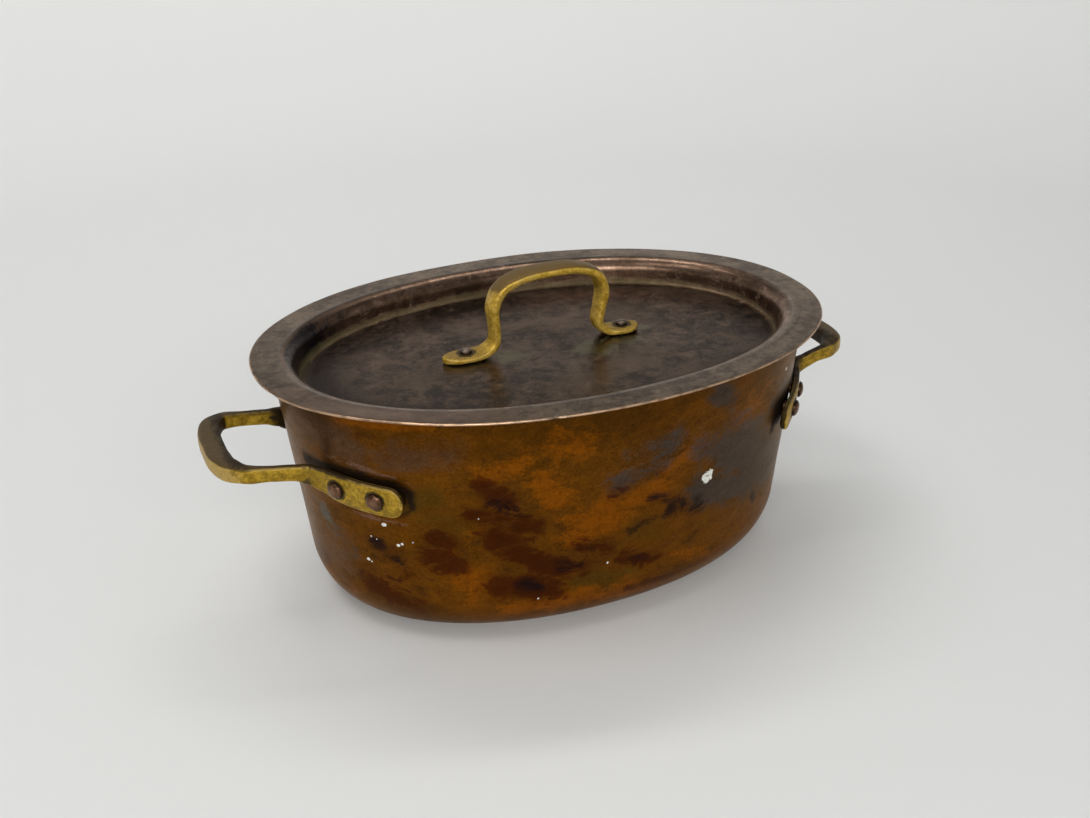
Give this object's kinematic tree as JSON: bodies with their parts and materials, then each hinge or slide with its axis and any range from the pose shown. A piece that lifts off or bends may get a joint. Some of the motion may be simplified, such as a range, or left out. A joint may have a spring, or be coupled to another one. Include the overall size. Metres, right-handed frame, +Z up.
{
  "type": "oval casserole",
  "caption": "Oval tinned-copper casserole with riveted brass side handles and a dished, flanged drop-in lid with a riveted brass bow handle.",
  "frame": {"origin": "middle of the flat base, on the surface that the pot stands on", "axes": "+X along the oval's long axis towards the right handle, +Y across the oval towards the back, +Z up and the way the lid lifts"},
  "size_m": [0.3535, 0.219, 0.1618],
  "materials": {
    "pot_copper": "patinated copper, brown-orange with dark blotches, satin",
    "lid_copper": "dark brown oxidised copper, satin",
    "tin": "hand-wiped tin, dull grey",
    "brass": "cast brass, pitted, worn bright on the edges and brown-grey on top",
    "rivet_copper": "upset copper rivet, brown patina",
    "lid_rivet_copper": "small upset copper rivet, dull grey-brown"
  },
  "bodies": {
    "pot": {"pot_body": "pot_copper", "pot_tin_lining": "tin", "left_handle": "brass", "right_handle": "brass", "left_front_rivet_1": "rivet_copper", "left_front_rivet_2": "rivet_copper", "left_back_rivet_1": "rivet_copper", "left_back_rivet_2": "rivet_copper", "right_front_rivet_1": "rivet_copper", "right_front_rivet_2": "rivet_copper", "right_back_rivet_1": "rivet_copper", "right_back_rivet_2": "rivet_copper"},
    "lid": {"lid_shell": "lid_copper", "lid_tin_lining": "tin", "lid_handle": "brass", "lid_left_rivet": "lid_rivet_copper", "lid_right_rivet": "lid_rivet_copper"}
  },
  "joints": [
    {"name": "lid_lift", "type": "slide", "parent": "pot", "child": "lid", "axis": [0, 0, 1], "range_m": [0, 0.2]}
  ]
}
